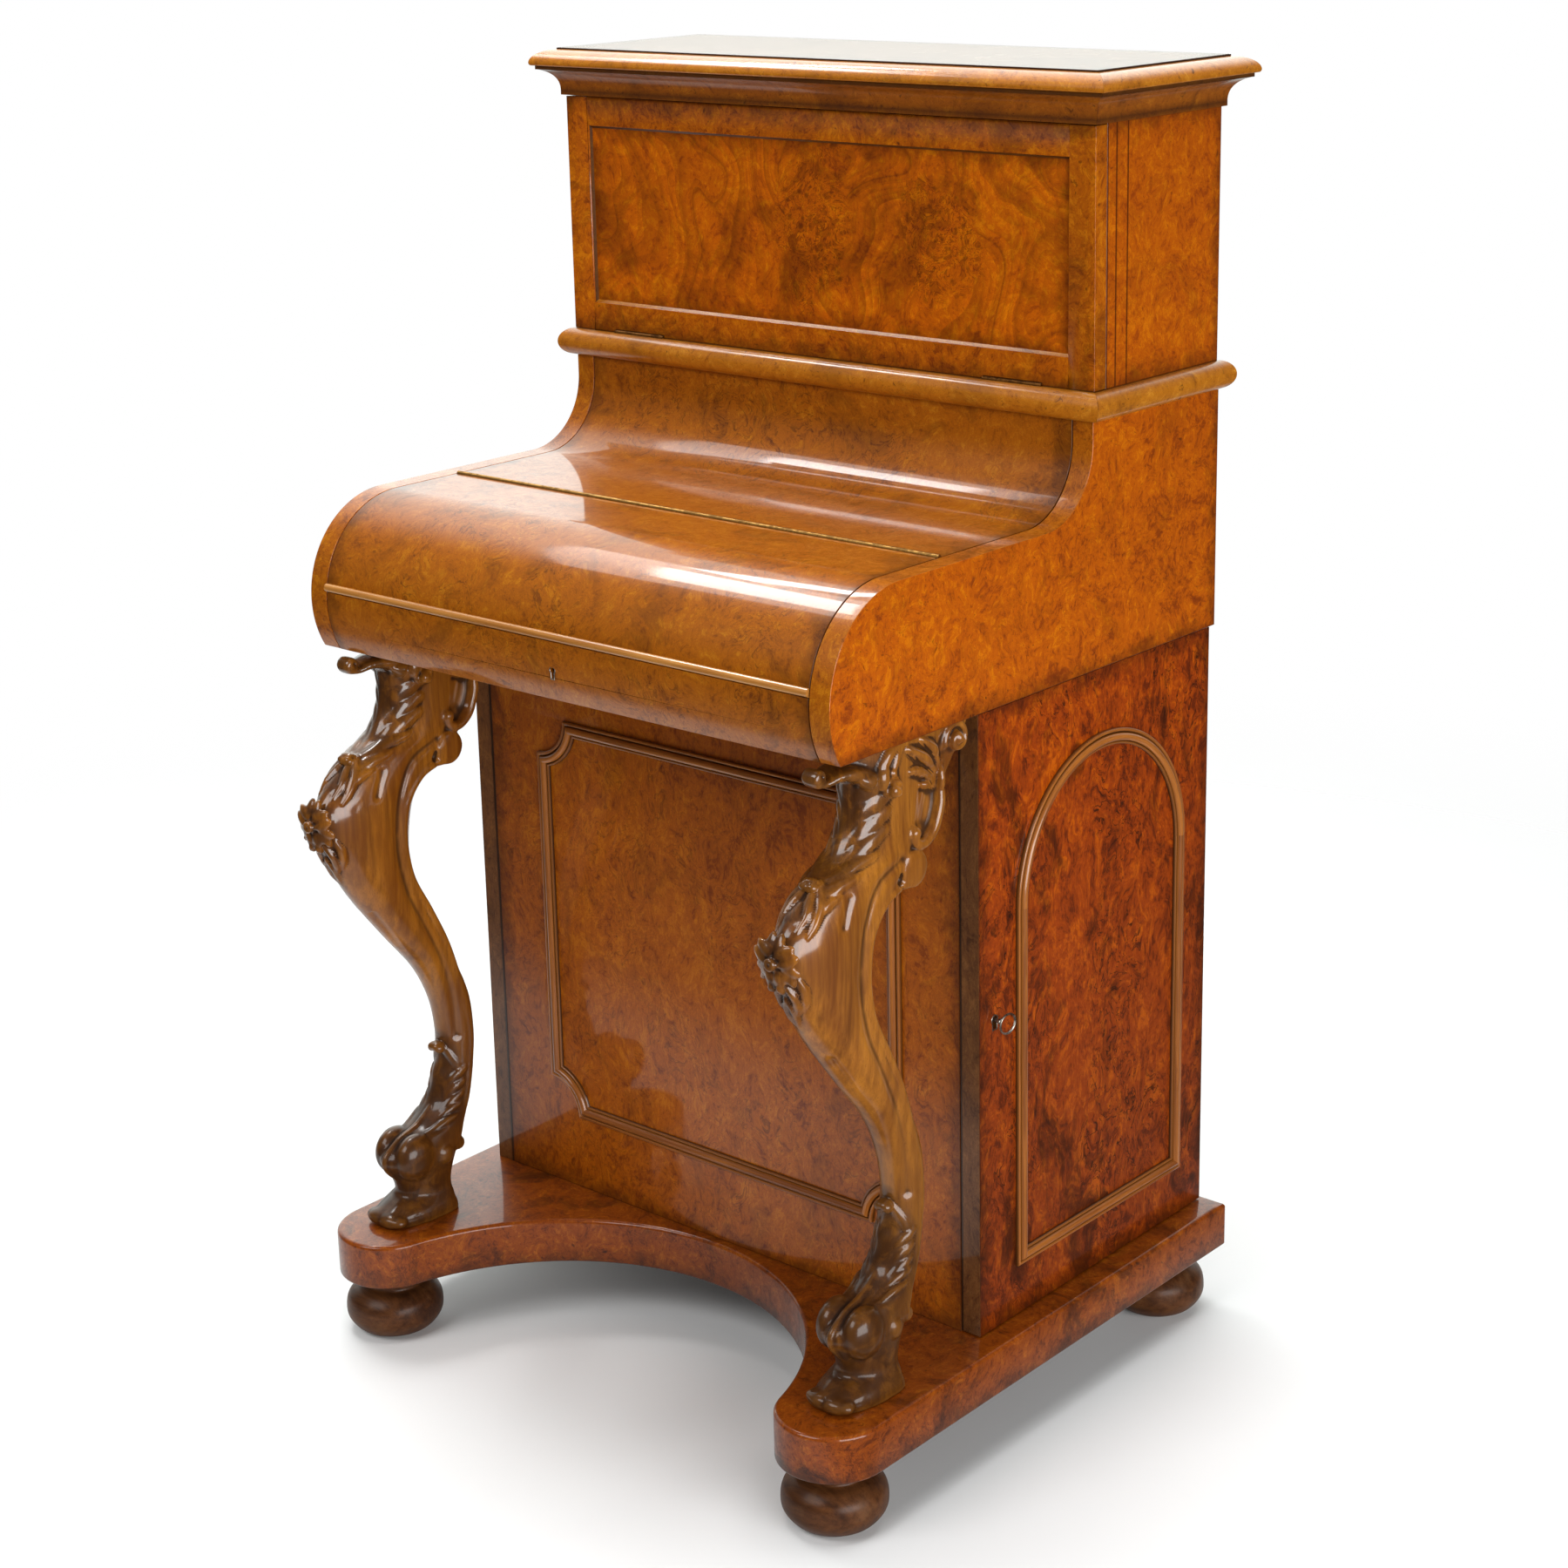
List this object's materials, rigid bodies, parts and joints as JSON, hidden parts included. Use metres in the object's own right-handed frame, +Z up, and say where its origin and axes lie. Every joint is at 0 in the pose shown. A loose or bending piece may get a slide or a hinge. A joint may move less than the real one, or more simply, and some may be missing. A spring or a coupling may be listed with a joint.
{
  "type": "davenport desk",
  "caption": "Davenport desk with a curved folding lid over a sliding writing board, a fall-front letter cabinet on top, carved scroll legs and drawers behind a side door.",
  "frame": {"origin": "on the floor, under the middle of the desk's width and depth", "axes": "+Z up, +X to the sitter's right (the side with the door), -Y to the front where the sitter is"},
  "size_m": [0.6288, 0.581, 1.1305],
  "materials": {
    "burr_walnut": "French-polished burr walnut veneer, high gloss",
    "walnut_moulding": "French-polished walnut mouldings, high gloss",
    "carved_walnut": "carved solid walnut, dark wax polish",
    "drawer_wood": "satin mahogany and oak of the inner boards",
    "brass": "aged brass",
    "steel": "worn steel",
    "leather": "tooled skiver leather"
  },
  "bodies": {
    "carcass": {"bun_feet": "carved_walnut", "carved_leg_left": "carved_walnut", "carved_leg_right": "carved_walnut", "case_back": "burr_walnut", "case_bottom": "drawer_wood", "cheek_left": "burr_walnut", "cheek_right": "burr_walnut", "cornice_cove": "walnut_moulding", "door_hinge_case_leaves": "brass", "door_lock_strike": "brass", "drawer_dividers": "drawer_wood", "fall_hinge_board_leaves": "brass", "front_panel": "burr_walnut", "front_panel_moulding": "walnut_moulding", "front_rail": "burr_walnut", "hood": "burr_walnut", "left_arch_moulding": "walnut_moulding", "left_side_panel": "burr_walnut", "lid_hinge_hood_leaf": "brass", "lid_lock_case": "brass", "pedestal_back": "burr_walnut", "pedestal_floor": "drawer_wood", "pedestal_top": "drawer_wood", "pigeonhole_dividers": "drawer_wood", "pigeonhole_shelf": "drawer_wood", "plinth": "burr_walnut", "slide_runners": "drawer_wood", "top_board": "burr_walnut", "top_edge_moulding": "walnut_moulding", "upper_back": "burr_walnut", "upper_side_left": "burr_walnut", "upper_side_right": "burr_walnut", "upper_top": "burr_walnut", "waist_bead": "walnut_moulding", "waist_board": "burr_walnut"},
    "side_door": {"side_door": "burr_walnut", "door_arch_moulding": "walnut_moulding", "door_hinge_door_leaves": "brass", "door_lock_case": "brass"},
    "door_bolt": {"door_lock_bolt": "steel"},
    "door_key": {"door_key": "steel"},
    "lid": {"lid": "burr_walnut", "lid_lip": "walnut_moulding", "lid_hinge_lid_leaf": "brass"},
    "writing_board": {"writing_slide": "drawer_wood", "writing_leather": "leather"},
    "lid_bolt": {"lid_lock_bolt": "steel"},
    "fall_front": {"fall_frame": "burr_walnut", "fall_panel": "burr_walnut", "fall_hinge_fall_leaves": "brass"},
    "drawer_1": {"drawer_1_front": "drawer_wood", "drawer_1_box": "drawer_wood"},
    "drawer_2": {"drawer_2_front": "drawer_wood", "drawer_2_box": "drawer_wood"},
    "drawer_3": {"drawer_3_front": "drawer_wood", "drawer_3_box": "drawer_wood"},
    "drawer_4": {"drawer_4_front": "drawer_wood", "drawer_4_box": "drawer_wood"}
  },
  "joints": [
    {"name": "door_hinge", "type": "hinge", "parent": "carcass", "child": "side_door", "pos_m": [0.2681, 0.27055, 0.1], "axis": [0, 0, 1], "range_deg": [0, 115]},
    {"name": "key_turn", "type": "hinge", "parent": "side_door", "child": "door_key", "pos_m": [0.2878, -0.0437, 0.379], "axis": [1, 0, 0], "range_deg": [0, 180]},
    {"name": "door_bolt_slide", "type": "slide", "parent": "side_door", "child": "door_bolt", "axis": [0, -1, 0], "range_m": [0, 0.006]},
    {"name": "lid_hinge", "type": "hinge", "parent": "carcass", "child": "lid", "pos_m": [0, -0.0883, 0.7725], "axis": [-1, 0, 0], "range_deg": [0, 176]},
    {"name": "writing_board_slide", "type": "slide", "parent": "carcass", "child": "writing_board", "axis": [0, -1, 0], "range_m": [0, 0.18]},
    {"name": "lid_bolt_slide", "type": "slide", "parent": "carcass", "child": "lid_bolt", "axis": [0, 0, 1], "range_m": [0, 0.006]},
    {"name": "fall_hinge", "type": "hinge", "parent": "carcass", "child": "fall_front", "pos_m": [0, 0.0868, 0.87665], "axis": [1, 0, 0], "range_deg": [0, 90]},
    {"name": "drawer_1_slide", "type": "slide", "parent": "carcass", "child": "drawer_1", "axis": [1, 0, 0], "range_m": [0, 0.06]},
    {"name": "drawer_2_slide", "type": "slide", "parent": "carcass", "child": "drawer_2", "axis": [1, 0, 0], "range_m": [0, 0.09]},
    {"name": "drawer_3_slide", "type": "slide", "parent": "carcass", "child": "drawer_3", "axis": [1, 0, 0], "range_m": [0, 0.13]},
    {"name": "drawer_4_slide", "type": "slide", "parent": "carcass", "child": "drawer_4", "axis": [1, 0, 0], "range_m": [0, 0.17]}
  ],
  "couplings": [
    {"joint": "door_bolt_slide", "follows": "key_turn", "m_per_rad": 0.0019079},
    {"joint": "writing_board_slide", "follows": "lid_hinge", "m_per_rad": 0.058539},
    {"joint": "drawer_1_slide", "follows": "door_hinge", "m_per_rad": 0.029864},
    {"joint": "drawer_2_slide", "follows": "door_hinge", "m_per_rad": 0.044795},
    {"joint": "drawer_3_slide", "follows": "door_hinge", "m_per_rad": 0.064704},
    {"joint": "drawer_4_slide", "follows": "door_hinge", "m_per_rad": 0.084613}
  ]
}
